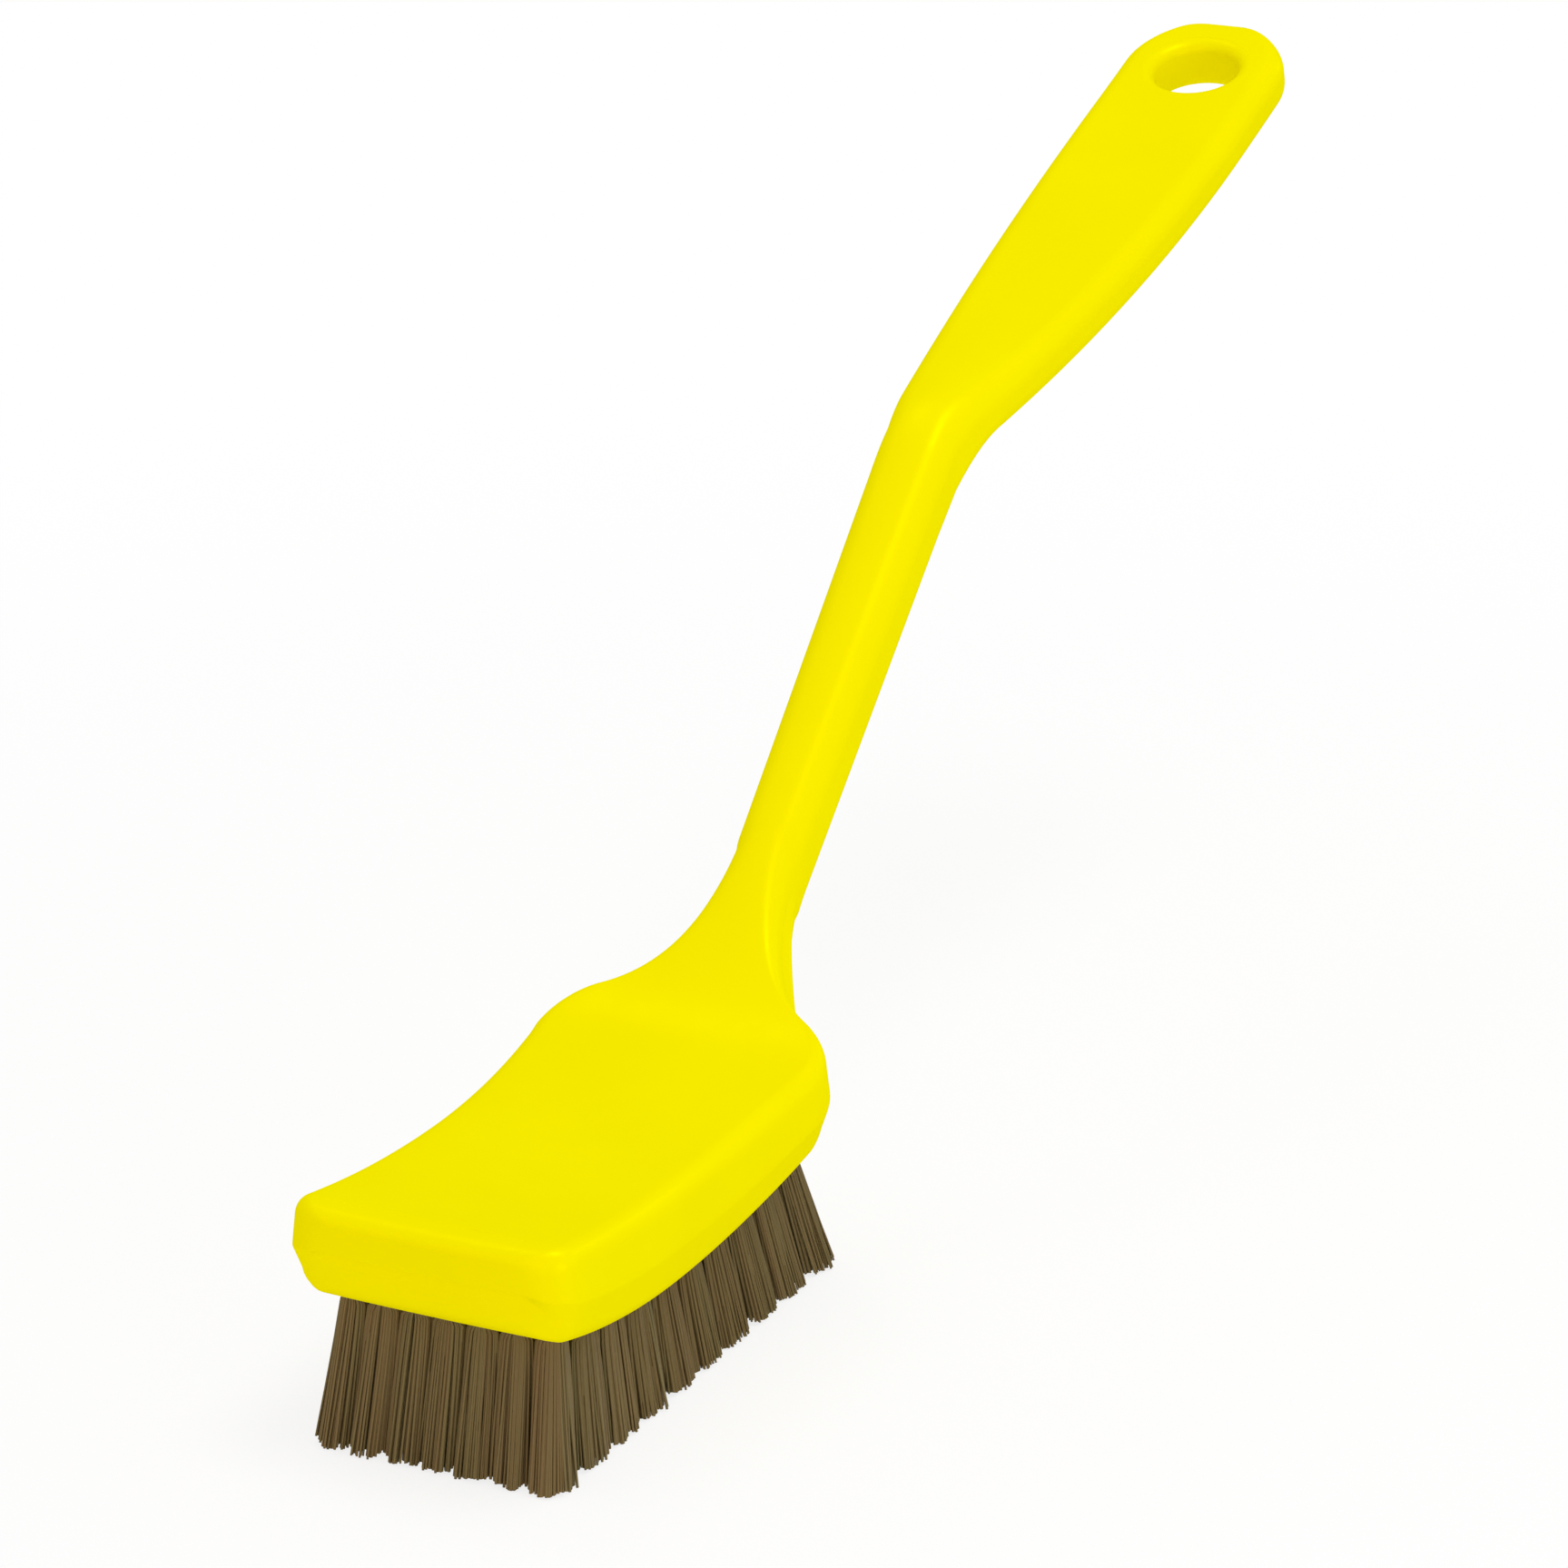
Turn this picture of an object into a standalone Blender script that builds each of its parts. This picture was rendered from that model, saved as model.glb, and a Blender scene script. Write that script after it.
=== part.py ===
"""Dish brush: one moulded body with a hanging hole, and rows of bristle tufts set in its block.

X runs from the front of the block to the end of the grip, and Z is up. The trimmed tips
of the bristles stand on the plane z = 0, and the middle of the length is at x = 0.
"""
import math

import bmesh
import bpy
from mathutils import Matrix, Vector

# Driving dimensions in metres and degrees; stations along X count from the block's front
BLOCK_LENGTH = 0.0812
BLOCK_THICKNESS = 0.0158
BLOCK_TOP_RADIUS = 0.209
BLOCK_UNDERSIDE_RADIUS = 0.121
BLOCK_LOW_AT = 0.039
WAIST_WIDTH = 0.0412
FRONT_WIDTH = 0.0422
REAR_WIDTH = 0.0452
WAIST_AT = 0.038
FRONT_BOW = 0.0008
FRONT_CORNER_RADIUS = 0.0056
REAR_CORNER_RADIUS = 0.0079
NECK_SWEEP_RADIUS = 0.0229
NECK_FLARE = 0.0018
NECK_FLARE_START = 0.0768
NECK_FLARE_END = 0.1044
BLOCK_UPPER_EDGE_RADIUS = 0.0027
BLOCK_LOWER_EDGE_RADIUS = 0.0023
BLOCK_UPPER_DRAFT = 0.0006
BLOCK_LOWER_DRAFT = 0.0018
NECK_BLEND = 0.0086
NECK_UNDERSIDE_BLEND = 0.0020

SHAFT_FOOT_AT = 0.0835
SHAFT_ANGLE = 44.3
SHAFT_LENGTH = 0.0963
SHAFT_START_THICKNESS = 0.0104
SHAFT_END_THICKNESS = 0.0094
SHAFT_START_WIDTH = 0.0094
SHAFT_END_WIDTH = 0.0118
SHAFT_CROWN = 0.0015
SHAFT_EDGE_RADIUS = 0.0032

BEND_BLEND = 0.0045
BEND_REACH = 0.0080
CROWN_FADE_LENGTH = 0.0320
GRIP_ANGLE = 13.6
GRIP_END_ANGLE = 21.3
GRIP_REACH = 0.1209
GRIP_THICKNESS = 0.0082
GRIP_WIDTH = 0.0267
GRIP_WIDENING_LENGTH = 0.0935
GRIP_EDGE_RADIUS = 0.0032
GRIP_END_STOP_ANGLE = 84.3
GRIP_END_LEAN_LENGTH = 0.0200
ROUND_LIMIT = 0.9

HANGING_HOLE_DIAMETER = 0.0136
HANGING_HOLE_FROM_END = 0.0152
HOLE_RIM_RADIUS = 0.0020

TRIM_HEIGHT = 0.0166
TUFT_ROWS = 10
TUFTS_PER_ROW = 7
FRONT_MARGIN = 0.0089
REAR_MARGIN = 0.0055
SIDE_MARGIN = 0.0044
TUFT_DIAMETER = 0.0034
TUFT_SIDES = 6
TUFT_SPREAD = 0.0050
TUFT_HOLE_CLEARANCE = 0.0003
TUFT_HOLE_DEPTH = 0.0090
FAN_HEIGHT = 0.138
SIDE_FAN_HEIGHT = 0.270
FAN_AT = 0.0215
STRANDS_ROUND_CENTRE = 5
STRAND_THICKNESS = 0.0009
BACKING_THICKNESS = 0.0015
BACKING_END = 0.0022
ANCHOR_WIDTH = 0.0036
ANCHOR_HEIGHT = 0.0016
ANCHOR_THICKNESS = 0.0005
TRIM_DEPTH = 0.0005
GAP = 0.0003

# Places that follow from the sizes above
shaft_slope = math.tan(math.radians(SHAFT_ANGLE))
grip_slope = math.tan(math.radians(GRIP_ANGLE))
grip_end_slope = math.tan(math.radians(GRIP_END_ANGLE))
bend_x = SHAFT_FOOT_AT + SHAFT_LENGTH * math.cos(math.radians(SHAFT_ANGLE))
grip_end_x = bend_x + GRIP_REACH
hole_x = grip_end_x - HANGING_HOLE_FROM_END * math.cos(math.radians(GRIP_END_ANGLE))
round_end_x = grip_end_x - GRIP_WIDTH / 2 * math.cos(math.radians(GRIP_END_ANGLE))

# The plan of the block's rear: a rounded corner, then a hollow sweep into the shaft's side
corner_x = BLOCK_LENGTH - REAR_CORNER_RADIUS
corner_y = REAR_WIDTH / 2 - REAR_CORNER_RADIUS
sweep_y = SHAFT_START_WIDTH / 2 + NECK_SWEEP_RADIUS
rear_turn = math.acos((sweep_y - corner_y) / (REAR_CORNER_RADIUS + NECK_SWEEP_RADIUS))
meet_x = corner_x + REAR_CORNER_RADIUS * math.sin(rear_turn)
sweep_x = meet_x + NECK_SWEEP_RADIUS * math.sin(rear_turn)


def clear_scene():
    for obj in list(bpy.data.objects):
        bpy.data.objects.remove(obj, do_unlink=True)


def blend_max(a, b, depth):
    """The larger of two heights, with a fillet of the given depth where they cross."""
    near = max(depth - abs(a - b), 0) / depth
    return max(a, b) + near * near * depth / 4


def blend_min(a, b, depth):
    return -blend_max(-a, -b, depth)


def arc_height(x, radius):
    """Rise of the block's long curve above its lowest point."""
    return radius - math.sqrt(radius * radius - (x - BLOCK_LOW_AT) ** 2)


def block_underside(x):
    return TRIM_HEIGHT + arc_height(x, BLOCK_UNDERSIDE_RADIUS)


def block_top(x):
    return TRIM_HEIGHT + BLOCK_THICKNESS + arc_height(x, BLOCK_TOP_RADIUS)


def shaft_underside(x):
    return block_underside(SHAFT_FOOT_AT) + shaft_slope * (x - SHAFT_FOOT_AT)


def share_of_shaft(x):
    return (x - SHAFT_FOOT_AT) / (bend_x - SHAFT_FOOT_AT)


def shaft_top(x):
    thinning = (SHAFT_START_THICKNESS - SHAFT_END_THICKNESS) * share_of_shaft(x)
    return shaft_underside(x) + (SHAFT_START_THICKNESS - thinning) * math.hypot(1, shaft_slope)


def grip_top(x):
    along = x - bend_x
    turn = (grip_end_slope - grip_slope) / GRIP_REACH
    return shaft_top(bend_x) + grip_slope * along + turn * along * along / 2


def grip_underside(x):
    turn = (grip_end_slope - grip_slope) / GRIP_REACH
    slope = grip_slope + turn * (x - bend_x)
    return grip_top(x) - GRIP_THICKNESS * math.hypot(1, slope)


def on_block(x):
    """Any station, kept to the stretch where the block's arcs are real heights."""
    return min(x, 2 * BLOCK_LOW_AT + BLOCK_LENGTH / 4)


def top_height(x):
    rising = blend_max(block_top(on_block(x)), shaft_top(x), NECK_BLEND)
    return blend_min(rising, grip_top(x), BEND_BLEND)


def underside_height(x):
    block = block_underside(on_block(x))
    rising = blend_max(block, shaft_underside(x), NECK_UNDERSIDE_BLEND)
    return blend_min(rising, grip_underside(x), BEND_BLEND)


def slope_at(x):
    step = 0.0005
    return (top_height(x + step) - top_height(x - step)) / (2 * step)


def block_half_width(x):
    """A shallow waist: widest at the two ends of the block."""
    end_width = FRONT_WIDTH if x < WAIST_AT else REAR_WIDTH
    reach = WAIST_AT if x < WAIST_AT else corner_x - WAIST_AT
    share = min(abs(x - WAIST_AT) / reach, 1)
    return (WAIST_WIDTH + (end_width - WAIST_WIDTH) * share * share) / 2


def handle_half_width(x):
    """An even taper along the shaft, then a curve that levels off at the grip's full width."""
    if x < bend_x:
        widening = (SHAFT_END_WIDTH - SHAFT_START_WIDTH) * share_of_shaft(x)
        return (SHAFT_START_WIDTH + widening) / 2
    left = max(1 - (x - bend_x) / GRIP_WIDENING_LENGTH, 0)
    return (GRIP_WIDTH - (GRIP_WIDTH - SHAFT_END_WIDTH) * left * left) / 2


def half_width(x):
    if x < FRONT_CORNER_RADIUS:
        back = FRONT_CORNER_RADIUS - x
        round_corner = FRONT_CORNER_RADIUS - math.sqrt(FRONT_CORNER_RADIUS**2 - back**2)
        return block_half_width(x) - round_corner
    if x < corner_x:
        return block_half_width(x)
    if x < meet_x:
        return corner_y + math.sqrt(REAR_CORNER_RADIUS**2 - (x - corner_x) ** 2)
    if x < sweep_x:
        return sweep_y - math.sqrt(NECK_SWEEP_RADIUS**2 - (sweep_x - x) ** 2)
    width = handle_half_width(x)
    if x > round_end_x:
        turned = (x - round_end_x) / (grip_end_x - round_end_x)
        width *= math.sqrt(1 - turned * turned)
    return width


def inset(radius, depth):
    """How far a quarter round draws in at this distance from where it ends."""
    back = min(max(radius - depth, 0), radius)
    return radius - math.sqrt(radius * radius - back * back)


def top_edge_inset(x):
    return inset(BLOCK_UPPER_EDGE_RADIUS, x) + inset(GRIP_EDGE_RADIUS, grip_end_x - x)


def lower_edge_inset(x):
    return inset(BLOCK_LOWER_EDGE_RADIUS, x) + inset(GRIP_EDGE_RADIUS, grip_end_x - x)


def smooth_share(x, start, length):
    along = min(max((x - start) / length, 0), 1)
    return along * along * (3 - 2 * along)


def share_of_handle(x):
    """0 on the block, 1 on the shaft and the grip, with a smooth change along the neck."""
    return smooth_share(x, corner_x, sweep_x - corner_x)


def share_of_grip(x):
    return smooth_share(x, bend_x, CROWN_FADE_LENGTH)


def edge_radius(x, block_radius):
    slender = SHAFT_EDGE_RADIUS + (GRIP_EDGE_RADIUS - SHAFT_EDGE_RADIUS) * share_of_grip(x)
    return block_radius + (slender - block_radius) * share_of_handle(x)


def lean_at(x):
    """How far a slice leans back for its height, so that the grip's end is square to the grip."""
    slope = slope_at(x)
    share = smooth_share(x, round_end_x - GRIP_END_LEAN_LENGTH, GRIP_END_LEAN_LENGTH)
    return share * slope / (1 + slope * slope)


def draft_at(x, row):
    """The block narrows a little from its belt line to the top, and more to the underside."""
    if row > BELT:
        draft = BLOCK_UPPER_DRAFT * (row - BELT) / (1 - BELT)
    else:
        draft = BLOCK_LOWER_DRAFT * (BELT - row) / (1 + BELT)
    return draft * (1 - share_of_handle(x))


def flare_at(x, row):
    """The neck's sides stand out at the belt line, and run in to the top edge."""
    along = (x - NECK_FLARE_START) / (NECK_FLARE_END - NECK_FLARE_START)
    if not 0 < along < 1:
        return 0
    flare = NECK_FLARE * math.sin(math.pi * along) ** 2
    return flare * min((1 - row) / (1 - BELT), 1)


def slice_points(x):
    """One upright slice of the body, as a grid of points whose rim is a rounded rectangle.

    Columns run across from -1 to 1 and rows up from -1 to 1. The steps beyond STRAIGHT
    are the rounded corners.
    """
    width = half_width(x)
    top = top_height(x) - top_edge_inset(x)
    bottom = underside_height(x) + lower_edge_inset(x)
    crown = SHAFT_CROWN * share_of_handle(x) * (1 - share_of_grip(x))
    slope = slope_at(x)
    lean = lean_at(x)
    middle = (top + bottom) / 2
    steep = math.hypot(1, slope)
    grid = []
    for row in UP:
        block_radius = BLOCK_UPPER_EDGE_RADIUS if row > BELT else BLOCK_LOWER_EDGE_RADIUS
        radius = edge_radius(x, block_radius)
        radius_y = min(radius, ROUND_LIMIT * width)
        radius_z = min(radius * steep, ROUND_LIMIT * (top - bottom) / 2)
        draft = draft_at(x, row) - flare_at(x, row)
        line = []
        for column in ACROSS:
            y, z = rounded_place(column, row, width, top, bottom, radius_y, radius_z)
            y *= 1 - draft / width
            z += crown * (1 - (y / width) ** 2) * max(row, 0)
            bow = FRONT_BOW * (2 * y / FRONT_WIDTH) ** 2 + draft
            forward = bow * max(1 - x / FRONT_CORNER_RADIUS, 0) - lean * (z - middle)
            line.append(Vector((x + forward, y, z - slope * lean * (z - middle))))
        grid.append(line)
    return grid


def rounded_place(column, row, width, top, bottom, radius_y, radius_z):
    """The place of a grid point: the corners lie on a quarter ellipse, the rest is even.

    A share of 1 is the middle of a corner, and STRAIGHT is where its arc begins.
    """
    half = (top - bottom) / 2
    across = abs(column)
    up = abs(row)
    y = (width - radius_y) * min(across / STRAIGHT, 1)
    z = (half - radius_z) * min(up / STRAIGHT, 1)
    turn_y = max(across - STRAIGHT, 0) / (1 - STRAIGHT) * math.pi / 4
    turn_z = max(up - STRAIGHT, 0) / (1 - STRAIGHT) * math.pi / 4
    if across == 1:
        y += radius_y * math.cos(turn_z)
        z += radius_z * math.sin(turn_z)
    elif up == 1:
        y += radius_y * math.sin(turn_y)
        z += radius_z * math.cos(turn_y)
    else:
        y += radius_y * math.sin(turn_y)
        z += radius_z * math.sin(turn_z)
    return math.copysign(y, column), (top + bottom) / 2 + math.copysign(z, row)


# The lines of the grid that each slice is drawn on, as shares of its half width and height
STRAIGHT = 0.8
BELT = -0.1
ACROSS = (-1, -0.9, -0.8, -0.45, 0, 0.45, 0.8, 0.9, 1)
UP = (-1, -0.9, -0.8, BELT, 0.8, 0.9, 1)


def even_steps(start, end, count):
    """Values from the start up to, but not including, the end."""
    return [start + (end - start) * step / count for step in range(count)]


def stations():
    """Where the slices stand: close together where the body turns, and wider between."""
    found = []
    for turn in even_steps(90, 0, 5):
        found.append(FRONT_CORNER_RADIUS * (1 - math.sin(math.radians(turn))))
    found += even_steps(FRONT_CORNER_RADIUS, corner_x, 11)
    for turn in even_steps(0, rear_turn, 7):
        found.append(corner_x + REAR_CORNER_RADIUS * math.sin(turn))
    for turn in even_steps(rear_turn, 0, 7):
        found.append(sweep_x - NECK_SWEEP_RADIUS * math.sin(turn))
    found += even_steps(sweep_x, bend_x - BEND_REACH, 6)
    found += even_steps(bend_x - BEND_REACH, bend_x + BEND_REACH, 9)
    found += even_steps(bend_x + BEND_REACH, round_end_x, 9)
    last_turn = math.radians(GRIP_END_STOP_ANGLE)
    for turn in even_steps(0, last_turn, 8) + [last_turn]:
        found.append(round_end_x + (grip_end_x - round_end_x) * math.sin(turn))
    return found


def body_length():
    """From the block's front to the farthest place that the leaning end slices reach."""
    return max(place.x for x in stations() for line in slice_points(x) for place in line)


def loft_body():
    """Joins the slices into one closed skin, with a grid of faces over each end."""
    bm = bmesh.new()
    last_row = len(UP) - 1
    last_column = len(ACROSS) - 1
    rim = [(0, c) for c in range(last_column)]
    rim += [(r, last_column) for r in range(last_row)]
    rim += [(last_row, c) for c in range(last_column, 0, -1)]
    rim += [(r, 0) for r in range(last_row, 0, -1)]
    places = stations()
    previous = None
    for number, x in enumerate(places):
        grid = slice_points(x)
        at_end = number in (0, len(places) - 1)
        verts = {}
        for r, line in enumerate(grid):
            for c, place in enumerate(line):
                if at_end or (r, c) in rim:
                    verts[r, c] = bm.verts.new(place)
        if at_end:
            for r in range(last_row):
                for c in range(last_column):
                    corners = (verts[r, c], verts[r, c + 1], verts[r + 1, c + 1], verts[r + 1, c])
                    bm.faces.new(corners)
        if previous:
            for here, there in zip(rim, rim[1:] + rim[:1]):
                bm.faces.new((previous[here], previous[there], verts[there], verts[here]))
        previous = verts
    bmesh.ops.recalc_face_normals(bm, faces=bm.faces)
    return bm


def material(name, colour, roughness, metallic=0.0):
    made = bpy.data.materials.new(name)
    made.use_nodes = True
    shader = made.node_tree.nodes["Principled BSDF"]
    shader.inputs["Base Color"].default_value = (*colour, 1)
    shader.inputs["Roughness"].default_value = roughness
    shader.inputs["Metallic"].default_value = metallic
    return made


def add_object(name, bm, collection, parent, finish=None):
    mesh = bpy.data.meshes.new(name)
    bm.to_mesh(mesh)
    bm.free()
    obj = bpy.data.objects.new(name, mesh)
    obj.parent = parent
    collection.objects.link(obj)
    if finish:
        mesh.materials.append(finish)
        mesh.shade_smooth()
        mesh.set_sharp_from_angle(angle=math.radians(35))
    else:
        obj.hide_render = True
        obj.display_type = "WIRE"
    return obj


def add_boolean(obj, other, operation):
    modifier = obj.modifiers.new(other.name, "BOOLEAN")
    modifier.operation = operation
    modifier.solver = "EXACT"
    modifier.object = other


def add_bar(bm, start, end, radius, sides):
    """A straight bar between two points."""
    way = end - start
    turn = way.to_track_quat("Z", "Y").to_matrix().to_4x4()
    middle = Matrix.Translation((start + end) / 2)
    bmesh.ops.create_cone(
        bm,
        cap_ends=True,
        segments=sides,
        radius1=radius,
        radius2=radius,
        depth=way.length,
        matrix=middle @ turn,
    )


def row_station(row):
    first = FRONT_MARGIN
    last = BLOCK_LENGTH - REAR_MARGIN
    return first + (last - first) * row / (TUFT_ROWS - 1)


def tuft_side(place):
    """How far the tuft stands from the middle of the block, by its place in the row."""
    outermost = WAIST_WIDTH / 2 - SIDE_MARGIN - TUFT_DIAMETER / 2
    return outermost * (2 * place / (TUFTS_PER_ROW - 1) - 1)


def tuft_axis(root):
    """The way that a tuft points, out of the block: they fan out, more to its ends than its sides."""
    lean = Vector(((root.x - FAN_AT) / FAN_HEIGHT, root.y / SIDE_FAN_HEIGHT, -1))
    return lean.normalized()


def tuft_roots(row):
    x = row_station(row)
    for place in range(TUFTS_PER_ROW):
        yield Vector((x, tuft_side(place), block_underside(x)))


def turned_hole_cutter(collection, parent):
    """The hanging hole and its two rounded rims, turned from a profile."""
    bm = bmesh.new()
    radius = HANGING_HOLE_DIAMETER / 2
    half = GRIP_THICKNESS / 2
    beyond = half + GRIP_THICKNESS / 4
    profile = [(0, beyond), (radius + HOLE_RIM_RADIUS, beyond)]
    for turn in (0, 30, 60, 90):
        angle = math.radians(turn)
        out = radius + HOLE_RIM_RADIUS * (1 - math.sin(angle))
        profile.append((out, half - HOLE_RIM_RADIUS * (1 - math.cos(angle))))
    lower = [(out, -height) for out, height in reversed(profile)]
    verts = [bm.verts.new((out, 0, height)) for out, height in profile + lower]
    for one, two in zip(verts, verts[1:]):
        bm.edges.new((one, two))
    cutter = add_object("hanging_hole_cutter", bm, collection, parent)
    screw = cutter.modifiers.new("turned", "SCREW")
    screw.steps = 32
    screw.render_steps = 32
    screw.use_merge_vertices = True
    screw.merge_threshold = 0.00001
    middle = (top_height(hole_x) + underside_height(hole_x)) / 2
    cutter.location = (hole_x, 0, middle)
    cutter.rotation_euler = (0, -math.atan(slope_at(hole_x)), 0)
    return cutter


def backing_field_cutter(collection, parent):
    """The shallow field in the underside that takes the backing of the tuft rows."""
    bm = bmesh.new()
    start = backing_edge(0) - GAP
    end = backing_edge(TUFT_ROWS) + GAP
    side = backing_half_width() + GAP
    below = -BLOCK_THICKNESS / 3
    add_curved_slab(bm, start, end, side, below, BACKING_THICKNESS + GAP, 2 * TUFT_ROWS)
    return add_object("backing_field_cutter", bm, collection, parent)


def backing_half_width():
    return tuft_side(TUFTS_PER_ROW - 1) + BACKING_END


def backing_edge(row):
    """Where the backing of this row starts, halfway from the row before it."""
    if row == 0:
        return row_station(0) - BACKING_END
    if row == TUFT_ROWS:
        return row_station(TUFT_ROWS - 1) + BACKING_END
    return (row_station(row - 1) + row_station(row)) / 2


def add_curved_slab(bm, start, end, side, low, high, steps):
    """A slab that follows the block's underside, from one height above it to another."""
    made = bmesh.ops.create_grid(bm, x_segments=steps, y_segments=1, size=0.5)
    face_list = list({face for vert in made["verts"] for face in vert.link_faces})
    raised = bmesh.ops.extrude_face_region(bm, geom=face_list)
    lifted = [item for item in raised["geom"] if isinstance(item, bmesh.types.BMVert)]
    for vert in made["verts"]:
        place_on_underside(vert, start, end, side, low)
    for vert in lifted:
        place_on_underside(vert, start, end, side, high)
    bmesh.ops.recalc_face_normals(bm, faces=bm.faces)


def place_on_underside(vert, start, end, side, lift):
    x = start + (end - start) * (vert.co.x + 0.5)
    vert.co = Vector((x, 2 * side * vert.co.y, block_underside(x) + lift))


def tuft_hole_cutter(collection, parent):
    bm = bmesh.new()
    radius = TUFT_DIAMETER / 2 + TUFT_HOLE_CLEARANCE
    for row in range(TUFT_ROWS):
        for root in tuft_roots(row):
            way = tuft_axis(root)
            add_bar(bm, root - way * TUFT_HOLE_DEPTH, root + way * GAP, radius, TUFT_SIDES)
    return add_object("tuft_hole_cutter", bm, collection, parent)


def add_anchor(bm, top, way):
    """The flat metal wire that a tuft is folded over, across the top of its hole."""
    turn = (-way).to_track_quat("Z", "Y").to_matrix().to_4x4()
    size = Matrix.Diagonal((ANCHOR_THICKNESS, ANCHOR_WIDTH, ANCHOR_HEIGHT, 1))
    bmesh.ops.create_cube(bm, size=1, matrix=Matrix.Translation(top) @ turn @ size)


def add_strands(bm, root, turn):
    """One tuft's strands: a middle one, and a ring that spreads towards the tips.

    The turn, in steps of the ring, keeps the strands of neighbouring tufts apart.
    """
    way = tuft_axis(root)
    reach = root.z / -way.z
    tip = root + way * reach
    ring = [None] + [(n + turn) / STRANDS_ROUND_CENTRE for n in range(STRANDS_ROUND_CENTRE)]
    for share in ring:
        start = root - way * BACKING_THICKNESS / 3
        end = tip + way * TRIM_DEPTH
        if share is not None:
            angle = 2 * math.pi * share
            out = Vector((math.cos(angle), math.sin(angle), 0))
            start += out * (TUFT_DIAMETER - STRAND_THICKNESS) / 2
            end += out * TUFT_SPREAD / 2
        add_bar(bm, start, end, STRAND_THICKNESS / 2, 3)


def trim_flat(bm):
    """Cuts the strand tips off flat where they stand on the ground, and closes their ends."""
    every = bm.verts[:] + bm.edges[:] + bm.faces[:]
    cut = bmesh.ops.bisect_plane(
        bm, geom=every, plane_co=(0, 0, 0), plane_no=(0, 0, -1), clear_outer=True
    )
    edges = [item for item in cut["geom_cut"] if isinstance(item, bmesh.types.BMEdge)]
    bmesh.ops.holes_fill(bm, edges=edges)
    bmesh.ops.recalc_face_normals(bm, faces=bm.faces)


def build_tuft_row(row, parts, cutters, parent, finish):
    """A row of tufts on its slice of backing, with the roots folded over their anchors."""
    name = f"tuft_row_{row + 1:02d}"
    backing = bmesh.new()
    start = backing_edge(row) + GAP / 2
    end = backing_edge(row + 1) - GAP / 2
    add_curved_slab(backing, start, end, backing_half_width(), 0, BACKING_THICKNESS, 1)
    obj = add_object(name, backing, parts, parent, finish)

    roots = bmesh.new()
    anchors = bmesh.new()
    strands = bmesh.new()
    for place, root in enumerate(tuft_roots(row)):
        way = tuft_axis(root)
        top = root - way * (TUFT_HOLE_DEPTH - ANCHOR_HEIGHT)
        add_bar(roots, top, root - way * BACKING_THICKNESS / 2, TUFT_DIAMETER / 2, TUFT_SIDES)
        add_anchor(anchors, top, way)
        add_strands(strands, root, place % 2 / 2)
    trim_flat(strands)
    for kind, bm in (("roots", roots), ("anchors", anchors), ("strands", strands)):
        joined = add_object(f"{name}_{kind}", bm, cutters, parent)
        add_boolean(obj, joined, "UNION")


def build_brush():
    clear_scene()
    scene = bpy.context.scene
    parts = bpy.data.collections.new("dish_brush")
    cutters = bpy.data.collections.new("cutters")
    scene.collection.children.link(parts)
    scene.collection.children.link(cutters)

    middle = bpy.data.objects.new("middle_of_length", None)
    middle.location = (-body_length() / 2, 0, 0)
    parts.objects.link(middle)

    yellow = material("yellow_polypropylene", (0.90, 0.80, 0.0), 0.35)
    brown = material("brown_polyester_bristle", (0.115, 0.08, 0.028), 0.55)

    body = add_object("moulded_body", loft_body(), parts, middle, yellow)
    add_boolean(body, turned_hole_cutter(cutters, middle), "DIFFERENCE")
    add_boolean(body, backing_field_cutter(cutters, middle), "DIFFERENCE")
    add_boolean(body, tuft_hole_cutter(cutters, middle), "DIFFERENCE")
    for row in range(TUFT_ROWS):
        build_tuft_row(row, parts, cutters, middle, brown)


build_brush()
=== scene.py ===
"""Dish brush on a white studio floor: one yellow moulding and ten rows of brown bristle tufts.

Everything is in metres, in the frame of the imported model: X runs from the block's front to
the end of the grip, Z is up, and the trimmed tips of the bristles stand on z = 0.
"""
import math

import bmesh
import bpy
from mathutils import Matrix, Vector


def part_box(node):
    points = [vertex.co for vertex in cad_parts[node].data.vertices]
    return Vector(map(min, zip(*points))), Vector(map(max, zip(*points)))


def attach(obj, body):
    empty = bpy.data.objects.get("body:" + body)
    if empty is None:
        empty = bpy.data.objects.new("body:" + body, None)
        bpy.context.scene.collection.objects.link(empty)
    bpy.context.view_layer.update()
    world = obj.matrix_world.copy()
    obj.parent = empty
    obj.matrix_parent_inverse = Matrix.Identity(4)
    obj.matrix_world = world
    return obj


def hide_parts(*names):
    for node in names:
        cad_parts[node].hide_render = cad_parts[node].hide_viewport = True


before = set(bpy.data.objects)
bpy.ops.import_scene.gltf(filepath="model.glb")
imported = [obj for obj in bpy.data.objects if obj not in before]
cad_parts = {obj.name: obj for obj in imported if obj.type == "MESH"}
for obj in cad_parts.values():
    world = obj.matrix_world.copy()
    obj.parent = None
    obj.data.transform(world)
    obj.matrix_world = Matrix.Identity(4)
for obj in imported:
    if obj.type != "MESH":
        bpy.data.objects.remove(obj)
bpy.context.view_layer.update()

# The camera looks down from beyond the block's front corner, past the bristles to the grip.
# The lens is long and stands about 0.8 m away, with a slight roll, as in the photograph.
view_azimuth = math.radians(-64.62)
view_elevation = math.radians(19.21)
view_roll = math.radians(0.656)
view_distance = 0.7906
aim_point = Vector((-0.01694, 0, 0.0128))
aim_right = 0.00527
aim_down = 0.04279
lens_pixels = 5939
photo_width = 1727

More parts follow.
